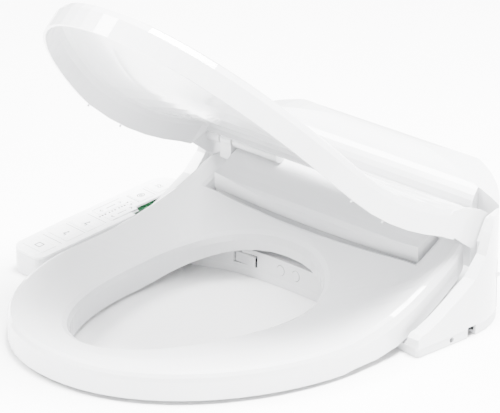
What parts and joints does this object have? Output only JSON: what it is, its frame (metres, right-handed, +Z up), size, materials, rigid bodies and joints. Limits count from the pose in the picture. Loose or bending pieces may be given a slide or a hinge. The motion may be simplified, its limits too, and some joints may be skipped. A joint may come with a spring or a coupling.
{
  "type": "electric bidet seat",
  "caption": "Electric bidet seat with a raised-rear ring, a shell lid ajar, a side control panel and a washing unit under a domed rear housing.",
  "frame": {"origin": "midpoint between the two bowl bolts, on the plane of the bowl's rim", "axes": "+Z up, -Y towards the front of the seat, -X the side with the control panel"},
  "size_m": [0.46, 0.4929, 0.3626],
  "materials": {
    "white_gloss": "injection-moulded gloss ABS, cool white",
    "white_satin": "moulded polypropylene, fine satin texture",
    "panel_film": "gloss film over the control panel",
    "grey_rubber": "soft bumper rubber",
    "dark_rubber": "moulded rubber",
    "steel": "stainless steel",
    "zinc": "grey coated steel plate",
    "bush": "acetal bush",
    "dark_plastic": "dark engineering plastic",
    "board": "green circuit board",
    "copper": "copper windings and foil",
    "filter_blue": "filter mesh",
    "light": "clear light guide",
    "hose": "silicone hose"
  },
  "bodies": {
    "bracket": {"mounting_plate": "zinc", "bolt_inserts": "steel"},
    "seat": {"seat_shell": "white_gloss", "seat_base": "white_satin", "seat_heater": "copper", "seat_bumpers": "grey_rubber", "seat_bushes": "bush"},
    "lid": {"lid_shell": "white_gloss", "lid_knuckles": "white_satin", "lid_bumpers": "grey_rubber", "lid_bushes": "bush"},
    "wash_nozzle": {"nozzle_rear": "white_gloss"},
    "bidet_nozzle": {"nozzle_front": "white_gloss"},
    "blower": {"dryer_wheel": "dark_plastic"},
    "flap": {"dryer_flap": "white_satin"},
    "drawer": {"filter_drawer": "white_satin"},
    "release": {"release_button": "white_satin"},
    "btn_stop": {"key_stop": "panel_film"},
    "btn_rear": {"key_rear": "panel_film"},
    "btn_front": {"key_front": "panel_film"},
    "btn_less": {"key_less": "panel_film"},
    "btn_more": {"key_more": "panel_film"},
    "btn_mode": {"key_mode": "panel_film"},
    "btn_dry": {"key_dry": "panel_film"},
    "base": {"base_tray": "white_satin", "housing_cover": "white_gloss", "hinge_block": "white_gloss", "casing_screws": "steel", "rear_pads": "dark_rubber", "panel_body": "white_gloss", "panel_face": "panel_film", "panel_board": "board", "panel_lights": "light", "nozzle_guide": "white_satin", "nozzle_drives": "dark_plastic", "water_tank": "white_satin", "inlet_valve": "dark_plastic", "flow_pump": "dark_plastic", "hoses": "hose", "main_board": "board", "transformer": "copper", "dryer_case": "dark_plastic", "deodor_fan": "dark_plastic", "water_inlet": "white_satin", "inlet_filter": "filter_blue", "drain_plug": "dark_rubber", "cable_gland": "dark_rubber", "seat_sensor": "dark_plastic", "hinge_dampers": "dark_plastic", "hinge_pins": "steel"}
  },
  "joints": [
    {"name": "base_slide", "type": "slide", "parent": "bracket", "child": "base", "axis": [0, -1, 0], "range_m": [0, 0.04]},
    {"name": "release_press", "type": "slide", "parent": "base", "child": "release", "axis": [0, -1, 0], "range_m": [0, 0.004], "stiffness_N_per_m": 400},
    {"name": "seat_hinge", "type": "hinge", "parent": "base", "child": "seat", "pos_m": [0, -0.03, 0.108], "axis": [1, 0, 0], "range_deg": [-75, 0]},
    {"name": "lid_hinge", "type": "hinge", "parent": "seat", "child": "lid", "pos_m": [0, -0.03, 0.108], "axis": [-1, 0, 0], "range_deg": [-45.5, 54.5]},
    {"name": "wash_nozzle_slide", "type": "slide", "parent": "base", "child": "wash_nozzle", "axis": [0, -0.9397, -0.342], "range_m": [0, 0.055]},
    {"name": "bidet_nozzle_slide", "type": "slide", "parent": "base", "child": "bidet_nozzle", "axis": [0, -0.9397, -0.342], "range_m": [0, 0.055]},
    {"name": "blower_spin", "type": "hinge", "parent": "base", "child": "blower", "pos_m": [-0.078, -0.008, 0.028], "axis": [0, 0, 1], "continuous": true},
    {"name": "flap_hinge", "type": "hinge", "parent": "base", "child": "flap", "pos_m": [-0.06, -0.1022, 0.0236], "axis": [-1, 0, 0], "range_deg": [0, 70]},
    {"name": "drawer_slide", "type": "slide", "parent": "base", "child": "drawer", "axis": [-1, 0, 0], "range_m": [0, 0.045]},
    {"name": "key_stop_press", "type": "slide", "parent": "base", "child": "btn_stop", "axis": [-0.0698, 0.0887, -0.9936], "range_m": [0, 0.0008], "stiffness_N_per_m": 600},
    {"name": "key_rear_press", "type": "slide", "parent": "base", "child": "btn_rear", "axis": [-0.0698, 0.0887, -0.9936], "range_m": [0, 0.0008], "stiffness_N_per_m": 600},
    {"name": "key_front_press", "type": "slide", "parent": "base", "child": "btn_front", "axis": [-0.0698, 0.0887, -0.9936], "range_m": [0, 0.0008], "stiffness_N_per_m": 600},
    {"name": "key_less_press", "type": "slide", "parent": "base", "child": "btn_less", "axis": [-0.0698, 0.0887, -0.9936], "range_m": [0, 0.0008], "stiffness_N_per_m": 600},
    {"name": "key_more_press", "type": "slide", "parent": "base", "child": "btn_more", "axis": [-0.0698, 0.0887, -0.9936], "range_m": [0, 0.0008], "stiffness_N_per_m": 600},
    {"name": "key_mode_press", "type": "slide", "parent": "base", "child": "btn_mode", "axis": [-0.0698, 0.0887, -0.9936], "range_m": [0, 0.0008], "stiffness_N_per_m": 600},
    {"name": "key_dry_press", "type": "slide", "parent": "base", "child": "btn_dry", "axis": [-0.0698, 0.0887, -0.9936], "range_m": [0, 0.0008], "stiffness_N_per_m": 600}
  ]
}
